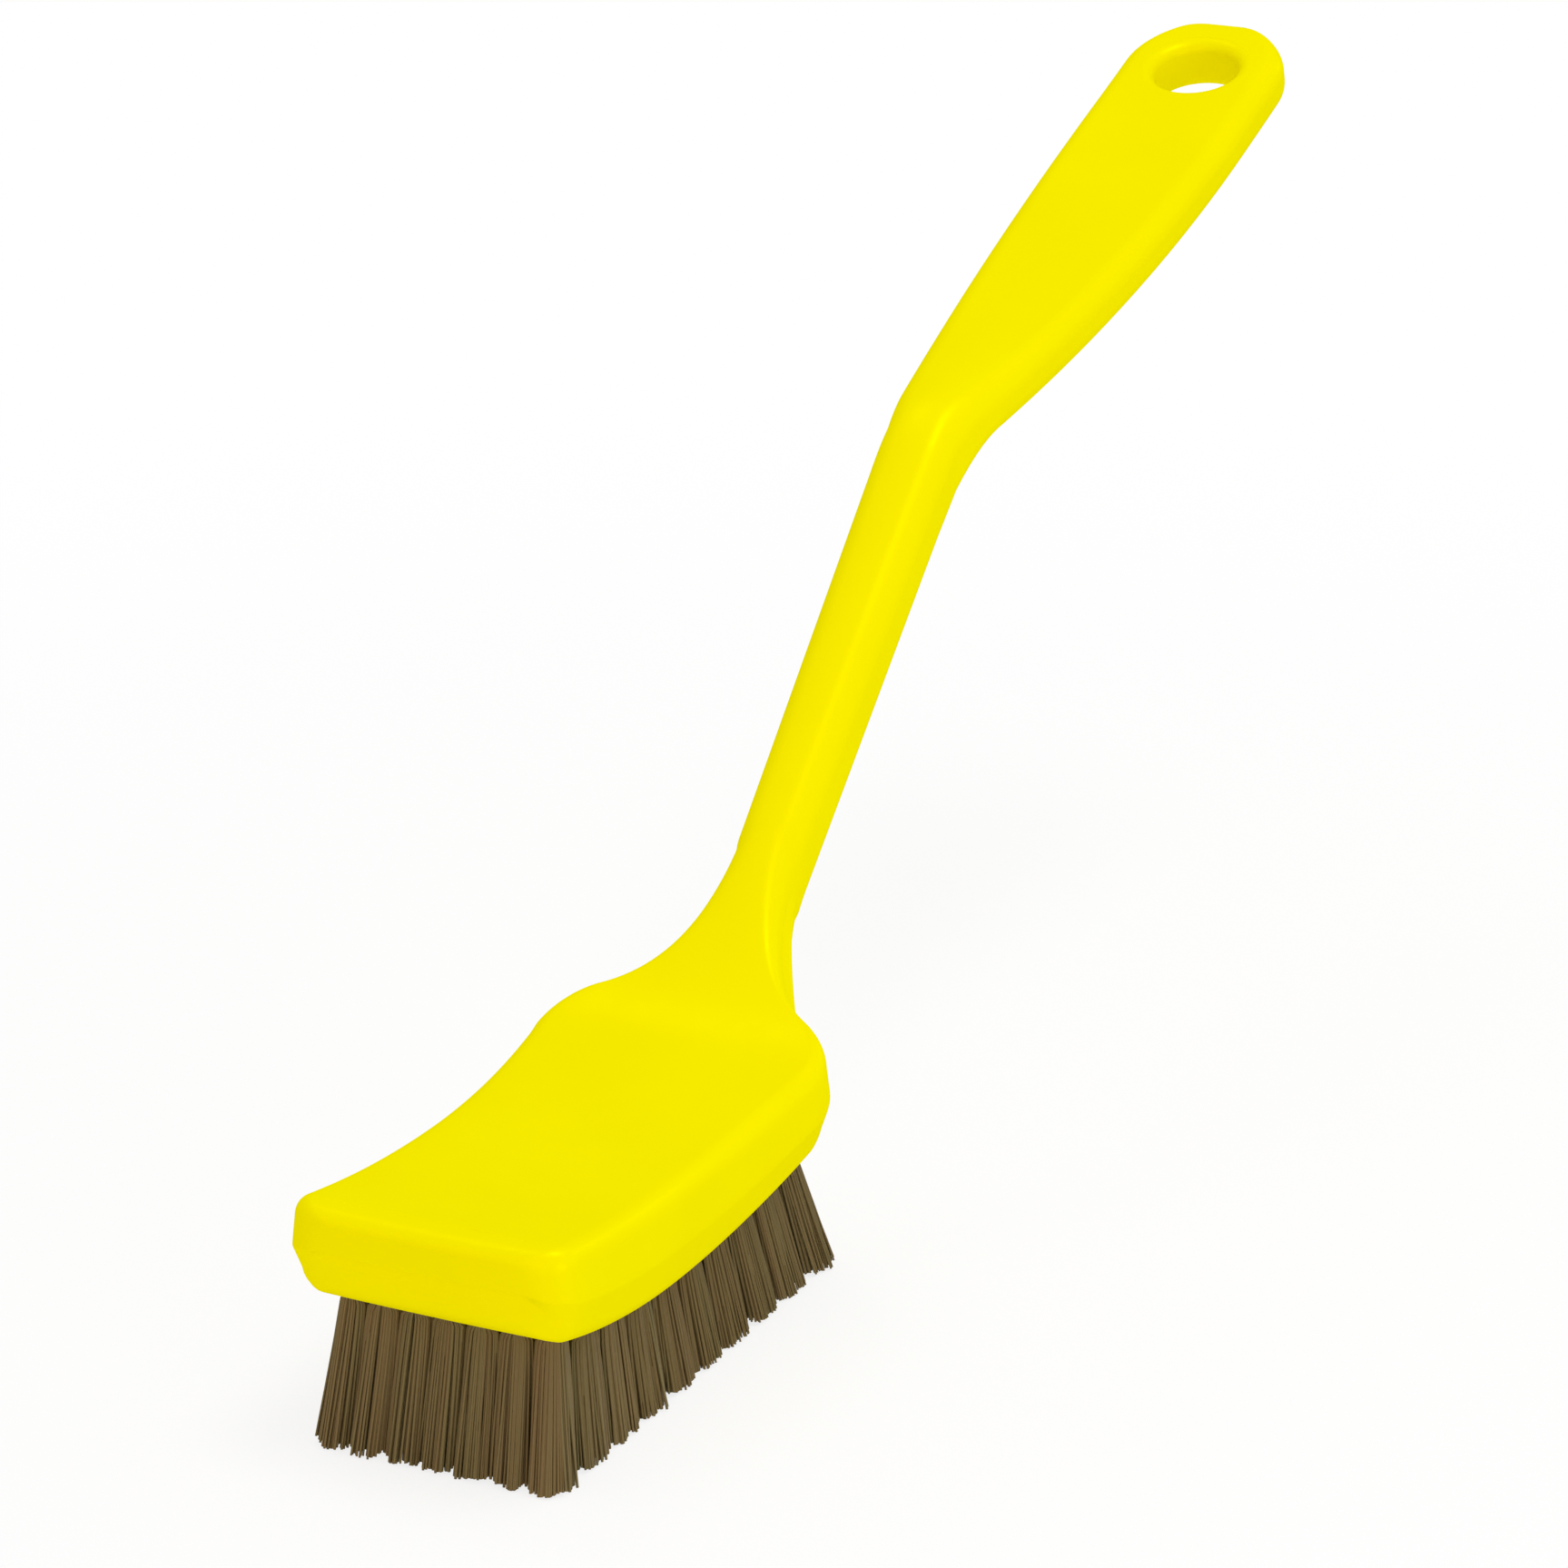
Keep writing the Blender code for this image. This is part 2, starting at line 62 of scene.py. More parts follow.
back = Vector((
    math.sin(view_azimuth) * math.cos(view_elevation),
    -math.cos(view_azimuth) * math.cos(view_elevation),
    math.sin(view_elevation),
))
level_right = Vector((math.cos(view_azimuth), math.sin(view_azimuth), 0))
level_up = back.cross(level_right)
right = level_right * math.cos(view_roll) + level_up * math.sin(view_roll)
up = level_up * math.cos(view_roll) - level_right * math.sin(view_roll)
camera_data = bpy.data.cameras.new("photo_camera")
camera_data.sensor_width = 36
camera_data.lens = lens_pixels * camera_data.sensor_width / photo_width
camera = bpy.data.objects.new("photo_camera", camera_data)
camera_place = aim_point + back * view_distance - right * aim_right + up * aim_down
camera_turn = Matrix((right, up, back)).transposed().to_4x4()
camera.matrix_world = Matrix.Translation(camera_place) @ camera_turn
bpy.context.scene.collection.objects.link(camera)
bpy.context.scene.camera = camera

# The body is a single injection moulding in yellow polypropylene: a waisted block with a hollow
# top, a swept neck, a slender shaft, a bend and a broad flat grip, whose sides lean in from a
# belt line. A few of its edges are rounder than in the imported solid, as in the photograph.
block_length = 0.0812
block_thickness = 0.0158
block_top_radius = 0.209
block_underside_radius = 0.121
block_low_at = 0.039
waist_width = 0.0412
front_width = 0.0422
rear_width = 0.0452
waist_at = 0.038
front_bow = 0.0008
front_corner_radius = 0.0056
rear_corner_radius = 0.0086
neck_sweep_radius = 0.0240
neck_flare = 0.0020
neck_flare_start = 0.0735
neck_flare_end = 0.1044
block_upper_edge_radius = 0.0027
front_round_length = 0.0054
front_round_depth = 0.0031
block_lower_edge_radius = 0.0029
block_upper_draft = 0.0006
block_lower_draft = 0.0015
neck_blend = 0.0086
neck_underside_blend = 0.0020
shaft_foot_at = 0.0835
shaft_angle = math.radians(44.3)
shaft_length = 0.0963
shaft_start_thickness = 0.0104
shaft_end_thickness = 0.0094
shaft_start_width = 0.0094
shaft_end_width = 0.0118
shaft_crown = 0.0015
shaft_edge_radius = 0.0032
bend_blend = 0.0045
bend_reach = 0.0080
crown_fade_length = 0.0320
grip_angle = math.radians(13.6)
grip_end_angle = math.radians(21.3)
grip_reach = 0.1209
grip_thickness = 0.0082
grip_width = 0.0267
grip_widening_length = 0.0935
grip_edge_radius = 0.0032
grip_end_limit = 0.9995
grip_end_lean_length = 0.0200
round_limit = 0.9
trim_height = 0.0166
hanging_hole_diameter = 0.0136
hanging_hole_from_end = 0.0152
hole_rim_radius = 0.0020

block_curve_end = 2 * block_low_at + block_length / 4
shaft_slope = math.tan(shaft_angle)
bend_x = shaft_foot_at + shaft_length * math.cos(shaft_angle)
grip_end_x = bend_x + grip_reach
grip_turn = (math.tan(grip_end_angle) - math.tan(grip_angle)) / grip_reach
hole_x = grip_end_x - hanging_hole_from_end * math.cos(grip_end_angle)
round_end_x = grip_end_x - grip_width / 2 * math.cos(grip_end_angle)
corner_x = block_length - rear_corner_radius
corner_y = rear_width / 2 - rear_corner_radius
sweep_y = shaft_start_width / 2 + neck_sweep_radius
rear_turn = math.acos((sweep_y - corner_y) / (rear_corner_radius + neck_sweep_radius))
meet_x = corner_x + rear_corner_radius * math.sin(rear_turn)
sweep_x = meet_x + neck_sweep_radius * math.sin(rear_turn)


def blend_max(a, b, depth):
    """The larger of two heights, with a fillet of the given depth where they cross."""
    near = max(depth - abs(a - b), 0) / depth
    return max(a, b) + near * near * depth / 4


def arc_height(x, radius):
    """Rise of the block's long curve above its lowest point."""
    return radius - math.sqrt(radius * radius - (x - block_low_at) ** 2)


def block_underside(x):
    return trim_height + arc_height(x, block_underside_radius)


def shaft_underside(x):
    return block_underside(shaft_foot_at) + shaft_slope * (x - shaft_foot_at)


def shaft_top(x):
    share = (x - shaft_foot_at) / (bend_x - shaft_foot_at)
    thickness = shaft_start_thickness + (shaft_end_thickness - shaft_start_thickness) * share
    return shaft_underside(x) + thickness * math.hypot(1, shaft_slope)


def grip_top(x):
    along = x - bend_x
    return shaft_top(bend_x) + math.tan(grip_angle) * along + grip_turn * along * along / 2


def grip_underside(x):
    slope = math.tan(grip_angle) + grip_turn * (x - bend_x)
    return grip_top(x) - grip_thickness * math.hypot(1, slope)


def top_height(x):
    on_block = min(x, block_curve_end)
    block_top = trim_height + block_thickness + arc_height(on_block, block_top_radius)
    rising = blend_max(block_top, shaft_top(x), neck_blend)
    return -blend_max(-rising, -grip_top(x), bend_blend)


def underside_height(x):
    on_block = min(x, block_curve_end)
    rising = blend_max(block_underside(on_block), shaft_underside(x), neck_underside_blend)
    return -blend_max(-rising, -grip_underside(x), bend_blend)


def half_width(x):
    """Half the body's width: round corners, a shallow waist, the neck's sweep, then the handle."""
    if x < corner_x:
        end_width = front_width if x < waist_at else rear_width
        reach = waist_at if x < waist_at else corner_x - waist_at
        share = abs(x - waist_at) / reach
        side = (waist_width + (end_width - waist_width) * share * share) / 2
        back_by = max(front_corner_radius - x, 0)
        return side - front_corner_radius + math.sqrt(front_corner_radius**2 - back_by**2)
    if x < meet_x:
        return corner_y + math.sqrt(rear_corner_radius**2 - (x - corner_x) ** 2)
    if x < sweep_x:
        return sweep_y - math.sqrt(neck_sweep_radius**2 - (sweep_x - x) ** 2)
    if x < bend_x:
        share = (x - shaft_foot_at) / (bend_x - shaft_foot_at)
        return (shaft_start_width + (shaft_end_width - shaft_start_width) * share) / 2
    left = max(1 - (x - bend_x) / grip_widening_length, 0)
    width = (grip_width - (grip_width - shaft_end_width) * left * left) / 2
    turned = max(x - round_end_x, 0) / (grip_end_x - round_end_x)
    return width * math.sqrt(1 - turned * turned)


def smooth_share(x, start, length):
    along = min(max((x - start) / length, 0), 1)
    return along * along * (3 - 2 * along)


def inset(radius, depth):
    """How far a quarter round draws in at this distance from where it ends."""
    back_by = min(max(radius - depth, 0), radius)
    return radius - math.sqrt(radius * radius - back_by * back_by)


straight_share = 0.8
corner_steps = 6
across_steps = 22
up_steps = 16
belt_row = -0.1
belt_softness = 0.04
steps_from_belt = (-0.06, -0.03, 0.03, 0.06)


def shares(straight_steps, extra=()):
    """Places across a slice from -1 to 1: even between the corners, and close round them."""
    corner_width = 1 - straight_share
    corner = [straight_share + corner_width * n / corner_steps for n in range(corner_steps + 1)]
    middle = [straight_share * (2 * n / straight_steps - 1) for n in range(1, straight_steps)]
    return sorted([-share for share in corner] + middle + list(extra) + corner)


across_shares = shares(across_steps)
up_shares = shares(up_steps, [belt_row + step for step in steps_from_belt])


def past_belt(rise):
    """Rise beyond the belt line, eased in so that the line is a soft one."""
    return (rise + math.hypot(rise, belt_softness)) / 2


def slice_place(x, column, row, slice_facts):
    """One point of an upright slice, whose rim is a rounded rectangle with a crowned top."""
    width, top, bottom, crown, slope, lean, flare, on_handle, slender = slice_facts
    block_radius = block_upper_edge_radius if row > belt_row else block_lower_edge_radius
    radius = block_radius + (slender - block_radius) * on_handle
    half = (top - bottom) / 2
    radius_y = min(radius, round_limit * width)
    radius_z = min(radius * math.hypot(1, slope), round_limit * half)
    turn_y = max(abs(column) - straight_share, 0) / (1 - straight_share) * math.pi / 4
    turn_z = max(abs(row) - straight_share, 0) / (1 - straight_share) * math.pi / 4
    y = (width - radius_y) * min(abs(column) / straight_share, 1)
    z = (half - radius_z) * min(abs(row) / straight_share, 1)
    y += radius_y * (math.cos(turn_z) if abs(column) == 1 else math.sin(turn_y))
    z += radius_z * (math.cos(turn_y) if abs(row) == 1 and abs(column) < 1 else math.sin(turn_z))
    lower_draft = block_lower_draft * past_belt(belt_row - row) / (1 + belt_row)
    draft = lower_draft + block_upper_draft * past_belt(row - belt_row) / (1 - belt_row)
    draft = draft * (1 - on_handle) - flare * min((1 - row) / (1 - belt_row), 1)
    y = math.copysign(y, column) * (1 - draft / width)
    above_middle = math.copysign(z, row) + crown * (1 - (y / width) ** 2) * max(row, 0)
    # below the belt line the front leans in as the sides do, and above it stands upright
    bow = front_bow * (2 * y / front_width) ** 2 + lower_draft
    x += bow * max(1 - x / front_corner_radius, 0) - lean * above_middle
    return Vector((x, y, (top + bottom) / 2 + (1 - slope * lean) * above_middle))


def slice_facts_at(x):
    on_handle = smooth_share(x, corner_x, sweep_x - corner_x)
    on_grip = smooth_share(x, bend_x, crown_fade_length)
    step = 0.0005
    slope = (top_height(x + step) - top_height(x - step)) / (2 * step)
    front_in = inset(1, min(x / front_round_length, 1)) * front_round_depth
    top_in = front_in + inset(grip_edge_radius, grip_end_x - x)
    lower_in = inset(block_lower_edge_radius, x) + inset(grip_edge_radius, grip_end_x - x)
    slender = shaft_edge_radius + (grip_edge_radius - shaft_edge_radius) * on_grip
    # the last slices lean back, so that the grip's end is square to the grip
    leaning = smooth_share(x, round_end_x - grip_end_lean_length, grip_end_lean_length)
    # the neck's sides stand out a little at the belt line
    along_flare = (x - neck_flare_start) / (neck_flare_end - neck_flare_start)
    along_flare = min(max(along_flare, 0), 1)
    return (
        half_width(x),
        top_height(x) - top_in,
        underside_height(x) + lower_in,
        shaft_crown * on_handle * (1 - on_grip),
        slope,
        leaning * slope / (1 + slope * slope),
        neck_flare * math.sin(math.pi * along_flare) ** 2,
        on_handle,
        slender,
    )


def even_steps(start, end, count):
    return [start + (end - start) * step / count for step in range(count)]


def stations():
    """Where the slices stand: close together where the body turns, and wider between."""
    front_slices, block_slices, corner_slices, sweep_slices = 20, 54, 14, 24
    shaft_slices, bend_slices, grip_slices, end_slices = 34, 28, 72, 34
    found = []
    for turn in even_steps(math.pi / 2, 0, front_slices):
        found.append(front_corner_radius * (1 - math.sin(turn)))
    found += even_steps(front_corner_radius, corner_x, block_slices)
    for turn in even_steps(0, rear_turn, corner_slices):
        found.append(corner_x + rear_corner_radius * math.sin(turn))
    for turn in even_steps(rear_turn, 0, sweep_slices):
        found.append(sweep_x - neck_sweep_radius * math.sin(turn))
    found += even_steps(sweep_x, bend_x - bend_reach, shaft_slices)
    found += even_steps(bend_x - bend_reach, bend_x + bend_reach, bend_slices)
    found += even_steps(bend_x + bend_reach, round_end_x, grip_slices)
    last_turn = math.asin(grip_end_limit)
    for turn in even_steps(0, last_turn, end_slices) + [last_turn]:
        found.append(round_end_x + (grip_end_x - round_end_x) * math.sin(turn))
    return found


def loft_body():
    """Joins the slices into one closed skin, with a grid of faces over each end."""
    bm = bmesh.new()
    last_row = len(up_shares) - 1
    last_column = len(across_shares) - 1
    rim = [(0, c) for c in range(last_column)]
    rim += [(r, last_column) for r in range(last_row)]
    rim += [(last_row, c) for c in range(last_column, 0, -1)]
    rim += [(r, 0) for r in range(last_row, 0, -1)]
    grid = [(r, c) for r in range(last_row + 1) for c in range(last_column + 1)]
    places = stations()
    previous = None
    for x in places:
        at_end = x in (places[0], places[-1])
        facts = slice_facts_at(x)
        verts = {}
        for r, c in grid if at_end else rim:
            verts[r, c] = bm.verts.new(slice_place(x, across_shares[c], up_shares[r], facts))
        if at_end:
            for r in range(last_row):
                for c in range(last_column):
                    corners = (verts[r, c], verts[r, c + 1], verts[r + 1, c + 1], verts[r + 1, c])
                    bm.faces.new(corners)
        if previous:
            for here, there in zip(rim, rim[1:] + rim[:1]):
                bm.faces.new((previous[here], previous[there], verts[there], verts[here]))
        previous = verts
    bmesh.ops.recalc_face_normals(bm, faces=bm.faces)
    return bm


def turned_solid(bm, profile, sides, place):
    """A solid of revolution about Z from a profile of radius and height pairs, top to bottom."""
    rings = []
    for radius, height in profile:
        angles = [2 * math.pi * n / sides for n in range(sides)]
        ring = [Vector((radius * math.cos(a), radius * math.sin(a), height)) for a in angles]
        rings.append([bm.verts.new(place @ point) for point in ring])
    for upper, lower in zip(rings, rings[1:]):
        for n in range(sides):
            m = (n + 1) % sides
            bm.faces.new((upper[n], lower[n], lower[m], upper[m]))
    bm.faces.new(rings[0])
    bm.faces.new(reversed(rings[-1]))


def new_object(name, bm):
    mesh = bpy.data.meshes.new(name)
    bm.to_mesh(mesh)
    bm.free()
    obj = bpy.data.objects.new(name, mesh)
    bpy.context.scene.collection.objects.link(obj)
    return obj


def make_plain(obj):
    """Turns what the modifiers give into the object's own mesh, and removes the modifiers."""
    seen = obj.evaluated_get(bpy.context.evaluated_depsgraph_get())
    mesh = bpy.data.meshes.new_from_object(seen)
    obj.modifiers.clear()
    obj.data = mesh


def block_front():
    """The world's x of the block's front, from which the stations are counted."""
    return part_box("moulded_body")[0].x


# The tufts stand in ten rows of seven drilled blind holes, which fan out along the block and
# a little to its sides, so their mouths are slightly oval on the curved underside.
tuft_rows = 10
tufts_per_row = 7
front_margin = 0.0089
rear_margin = 0.0055
side_margin = 0.0044
tuft_diameter = 0.0034
tuft_hole_depth = 0.0090
tuft_hole_clearance = 0.00005
fan_height = 0.138
side_fan_height = 0.270
fan_at = 0.0215


def tuft_seats(row):
    """The mouths of a row's holes and the way that each tuft points, as pairs."""
    last = block_length - rear_margin
    x = front_margin + (last - front_margin) * row / (tuft_rows - 1)
    outermost = waist_width / 2 - side_margin - tuft_diameter / 2
    for place in range(tufts_per_row):
        y = outermost * (2 * place / (tufts_per_row - 1) - 1)
        way = Vector(((x - fan_at) / fan_height, y / side_fan_height, -1)).normalized()
        yield Vector((x, y, block_underside(x))), way


# The hanging hole goes through the grip between two rounded rims, and one cut makes it together
# with the blind holes.
hanging_hole_sides = 96
tuft_hole_sides = 24
rim_steps = 10
sharp_edge_angle = math.radians(32)
hole_cutter = bmesh.new()
half_grip = grip_thickness / 2
beyond = half_grip + grip_thickness / 4
hole_radius = hanging_hole_diameter / 2
upper_rim = [(hole_radius + hole_rim_radius, beyond)]
for turn in even_steps(0, math.pi / 2, rim_steps) + [math.pi / 2]:
    out = hole_radius + hole_rim_radius * (1 - math.sin(turn))
    upper_rim.append((out, half_grip - hole_rim_radius * (1 - math.cos(turn))))
lower_rim = [(out, -height) for out, height in reversed(upper_rim)]
hole_middle = (top_height(hole_x) + underside_height(hole_x)) / 2
hole_slope = math.atan(math.tan(grip_angle) + grip_turn * (hole_x - bend_x))
hole_place = Matrix.Translation((hole_x, 0, hole_middle)) @ Matrix.Rotation(-hole_slope, 4, "Y")
turned_solid(hole_cutter, upper_rim + lower_rim, hanging_hole_sides, hole_place)
drill_radius = tuft_diameter / 2 + tuft_hole_clearance
drill = [(drill_radius, tuft_diameter), (drill_radius, -tuft_hole_depth)]
for row in range(tuft_rows):
    for seat, way in tuft_seats(row):
        turn = way.to_track_quat("Z", "Y").to_matrix().to_4x4()
        turned_solid(hole_cutter, drill, tuft_hole_sides, Matrix.Translation(seat) @ turn)
bmesh.ops.recalc_face_normals(hole_cutter, faces=hole_cutter.faces)
cutter = new_object("hole_cutter", hole_cutter)

body = new_object("brush_body", loft_body())
cut = body.modifiers.new("holes", "BOOLEAN")
cut.operation = "DIFFERENCE"
cut.solver = "EXACT"
cut.object = cutter
make_plain(body)
bpy.data.objects.remove(cutter)
body.data.transform(Matrix.Translation((block_front(), 0, 0)))
body.data.shade_smooth()
body.data.set_sharp_from_angle(angle=sharp_edge_angle)


def new_material(name):
    made = bpy.data.materials.new(name)
    made.use_nodes = True
    return made, made.node_tree.nodes, made.node_tree.links


def object_noise(nodes, links, scale, detail):
    """Noise fixed to the piece, at a scale of spots to the metre."""
    place = nodes.new("ShaderNodeTexCoord")
    noise = nodes.new("ShaderNodeTexNoise")
    noise.inputs["Scale"].default_value = scale
    noise.inputs["Detail"].default_value = detail
    links.new(place.outputs["Object"], noise.inputs["Vector"])
    return noise.outputs["Fac"]


def ranged(nodes, links, value, low, high):
    """Spreads noise, most of which lies between 0.3 and 0.7, between a low and a high value."""
    usual_low, usual_high = 0.3, 0.7
    spread = nodes.new("ShaderNodeMapRange")
    spread.inputs["From Min"].default_value = usual_low
    spread.inputs["From Max"].default_value = usual_high
    spread.inputs["To Min"].default_value = low
    spread.inputs["To Max"].default_value = high
    links.new(value, spread.inputs["Value"])
    return spread.outputs["Result"]


def colour_between(nodes, links, share, one, two):
    mix = nodes.new("ShaderNodeMix")
    mix.data_type = "RGBA"
    mix.inputs["A"].default_value = (*one, 1)
    mix.inputs["B"].default_value = (*two, 1)
    links.new(share, mix.inputs["Factor"])
    return mix.outputs["Result"]


def add_bump(nodes, links, height, distance, strength, before=None):
    bump = nodes.new("ShaderNodeBump")
    bump.inputs["Distance"].default_value = distance
    bump.inputs["Strength"].default_value = strength
    links.new(height, bump.inputs["Height"])
    if before:
        links.new(before, bump.inputs["Normal"])
    return bump.outputs["Normal"]


# Polypropylene from a finely blasted mould: satin, with a faint cloudiness in the pigment,
# slow ripples where it shrank, and a grain that only shows close up.
yellow, nodes, links = new_material("yellow_polypropylene")
shader = nodes["Principled BSDF"]
shader.inputs["Specular IOR Level"].default_value = 0.0
shader.inputs["Specular Tint"].default_value = (1.0, 0.95, 0.0, 1)
shader.inputs["Metallic"].default_value = 0.06
cloud = ranged(nodes, links, object_noise(nodes, links, scale=55, detail=3), low=0, high=1)
tint = colour_between(nodes, links, cloud, (0.905, 0.82, 0.0), (0.922, 0.838, 0.0))
links.new(tint, shader.inputs["Base Color"])
satin = object_noise(nodes, links, scale=420, detail=4)
links.new(ranged(nodes, links, satin, low=0.30, high=0.38), shader.inputs["Roughness"])
ripple = object_noise(nodes, links, scale=70, detail=2)
ripple = add_bump(nodes, links, ripple, distance=0.0002, strength=0.25)
grain = object_noise(nodes, links, scale=2600, detail=3)
grain = add_bump(nodes, links, grain, distance=0.00004, strength=0.3, before=ripple)
links.new(grain, shader.inputs["Normal"])
body.data.materials.clear()
body.data.materials.append(yellow)
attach(body, "root")
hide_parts("moulded_body")

# Each tuft is a bundle of brown polyester filaments, folded over a flat wire and driven into
# its hole, so the legs leave the mouth packed tight and spread towards the trimmed tips.
# The machine trims all tufts to one flat plane, and a few filaments stray.
strand_thickness = 0.00038
strands_in_tuft = 280
strand_points = 7
strand_sides = 4
anchor_height = 0.0016
tip_spread_along = 0.0086
tip_spread_across = 0.0058
squareness = 0.6
locks_across_tuft = 1.5
lock_gathering = 0.08
strand_sway = 0.00025
uneven_trim = 0.0006

brown, nodes, links = new_material("brown_polyester_filament")
shader = nodes["Principled BSDF"]
shade = nodes.new("ShaderNodeAttribute")
shade.attribute_name = "shade"
reddish, greenish = (0.192, 0.128, 0.051), (0.185, 0.147, 0.057)
tint = colour_between(nodes, links, shade.outputs["Fac"], reddish, greenish)
links.new(tint, shader.inputs["Base Color"])
shader.inputs["Specular IOR Level"].default_value = 0.15
dull = object_noise(nodes, links, scale=900, detail=2)
links.new(ranged(nodes, links, dull, low=0.42, high=0.6), shader.inputs["Roughness"])
grain = object_noise(nodes, links, scale=4000, detail=2)
grain = add_bump(nodes, links, grain, distance=0.00002, strength=0.4)
links.new(grain, shader.inputs["Normal"])


def socket(sockets, name):
    """The socket of this name that is in use, where a node has one for each kind of value."""
    return next(item for item in sockets if item.name == name and item.enabled)


def tuft_tree():
    """Grows the filaments of a row of tufts from one point for each tuft."""
    tree = bpy.data.node_groups.new("tuft_row_filaments", "GeometryNodeTree")
    nodes, links = tree.nodes, tree.links
    sizes = (
        ("Seats", "Geometry", None),
        ("Strands in a tuft", "Int", strands_in_tuft),
        ("Points on a strand", "Int", strand_points),
        ("Strand thickness", "Float", strand_thickness),
        ("Tuft diameter", "Float", tuft_diameter),
        ("Tip spread along", "Float", tip_spread_along),
        ("Tip spread across", "Float", tip_spread_across),
        ("Depth in the hole", "Float", tuft_hole_depth - anchor_height),
        ("Locks across a tuft", "Float", locks_across_tuft),
        ("Gathering of a lock", "Float", lock_gathering),
        ("Sway", "Float", strand_sway),
        ("Uneven trim", "Float", uneven_trim),
        ("Seed", "Int", 0),
        ("Finish", "Material", brown),
    )
    for name, kind, value in sizes:
        made = tree.interface.new_socket(name, in_out="INPUT", socket_type=f"NodeSocket{kind}")
        if value is not None:
            made.default_value = value
    tree.interface.new_socket("Filaments", in_out="OUTPUT", socket_type="NodeSocketGeometry")
    given = nodes.new("NodeGroupInput").outputs
    result = nodes.new("NodeGroupOutput").inputs

    def feed(node, **values):
        for name, value in values.items():
            target = socket(node.inputs, name.replace("_", " "))
            if isinstance(value, bpy.types.NodeSocket):
                links.new(value, target)
            else:
                target.default_value = value
        return node

    def calculate(operation, *values):
        node = nodes.new("ShaderNodeMath")
        node.operation = operation
        for value, target in zip(values, node.inputs):
            if isinstance(value, bpy.types.NodeSocket):
                links.new(value, target)
            else:
                target.default_value = value
        return node.outputs[0]

    def vector(operation, one, two):
        node = nodes.new("ShaderNodeVectorMath")
        node.operation = operation
        links.new(one, node.inputs[0])
        links.new(two, socket(node.inputs, "Scale") if operation == "SCALE" else node.inputs[1])
        return node.outputs[0]

    def level(x, y):
        return feed(nodes.new("ShaderNodeCombineXYZ"), X=x, Y=y).outputs[0]

    def stored(kind, name):
        node = nodes.new("GeometryNodeInputNamedAttribute")
        node.data_type = kind
        return socket(feed(node, Name=name).outputs, "Attribute")

    def store(geometry, kind, name, value):
        node = nodes.new("GeometryNodeStoreNamedAttribute")
        node.data_type = kind
        node.domain = "POINT"
        return feed(node, Geometry=geometry, Name=name, Value=value).outputs["Geometry"]

    seeds = iter(range(1, 100))
    seeds_in_a_row = 31.0

    def chance(low, high):
        node = nodes.new("FunctionNodeRandomValue")
        node.data_type = "FLOAT"
        seed = calculate("MULTIPLY", given["Seed"], seeds_in_a_row)
        seed = calculate("ADD", seed, float(next(seeds)))
        return socket(feed(node, Min=low, Max=high, Seed=seed).outputs, "Value")

    # one point for each strand, at its place in the bundle, most of them near its rim
    rim_crowding = 0.3
    turn_of_next_tuft = 1.7
    copies = nodes.new("GeometryNodeDuplicateElements")
    copies.domain = "POINT"
    feed(copies, Geometry=given["Seats"], Amount=given["Strands in a tuft"])
    number = copies.outputs["Duplicate Index"]
    share = calculate("DIVIDE", calculate("ADD", number, 0.5), given["Strands in a tuft"])
    out = calculate("MULTIPLY", calculate("POWER", share, rim_crowding), chance(0.93, 1.03))
    golden_angle = math.pi * (3 - math.sqrt(5))
    angle = calculate("ADD", calculate("MULTIPLY", number, golden_angle), chance(-0.3, 0.3))
    tuft_turn = calculate("MULTIPLY", stored("FLOAT", "tuft"), turn_of_next_tuft)
    angle = calculate("ADD", angle, tuft_turn)
    place = level(
        calculate("MULTIPLY", out, calculate("COSINE", angle)),
        calculate("MULTIPLY", out, calculate("SINE", angle)),
    )
    points = store(copies.outputs["Geometry"], "FLOAT_VECTOR", "place", place)

    # where tufts press on each other, the round bundle spreads into a squarer one
    def squared(turned):
        size = calculate("POWER", calculate("ABSOLUTE", turned), stored("FLOAT", "roundness"))
        return calculate("MULTIPLY", calculate("MULTIPLY", out, size), calculate("SIGN", turned))

    pressed = level(squared(calculate("COSINE", angle)), squared(calculate("SINE", angle)))
    points = store(points, "FLOAT_VECTOR", "pressed", pressed)

    # the strands of a tuft cling together in a few locks, which share their tone and length
    step_along, step_across = 3.7, 1.9
    own_field = level(
        calculate("MULTIPLY", stored("FLOAT", "tuft"), step_along),
        calculate("MULTIPLY", stored("FLOAT", "tuft"), step_across),
    )
    spread_out = vector("ADD", place, own_field)
    locks = nodes.new("ShaderNodeTexVoronoi")
    locks.voronoi_dimensions = "2D"
    feed(locks, Vector=spread_out, Scale=given["Locks across a tuft"])
    to_lock = vector("SUBTRACT", locks.outputs["Position"], spread_out)
    points = store(points, "FLOAT_VECTOR", "to_lock", to_lock)
    lock_chance = feed(nodes.new("ShaderNodeSeparateXYZ"), Vector=locks.outputs["Color"])

    # each strand leans a little its own way, and a rare one strays much further
    stray_rarity = 9.0
    least_sway = 0.35
    stray_sway = 2.6
    sway_way = chance(0.0, 2 * math.pi)
    stray = calculate("POWER", chance(0.0, 1.0), stray_rarity)
    sway = calculate("ADD", least_sway, calculate("MULTIPLY", stray, stray_sway))
    sway = calculate("MULTIPLY", given["Sway"], sway)
    lean = level(
        calculate("MULTIPLY", sway, calculate("COSINE", sway_way)),
        calculate("MULTIPLY", sway, calculate("SINE", sway_way)),
    )
    points = store(points, "FLOAT_VECTOR", "lean", lean)

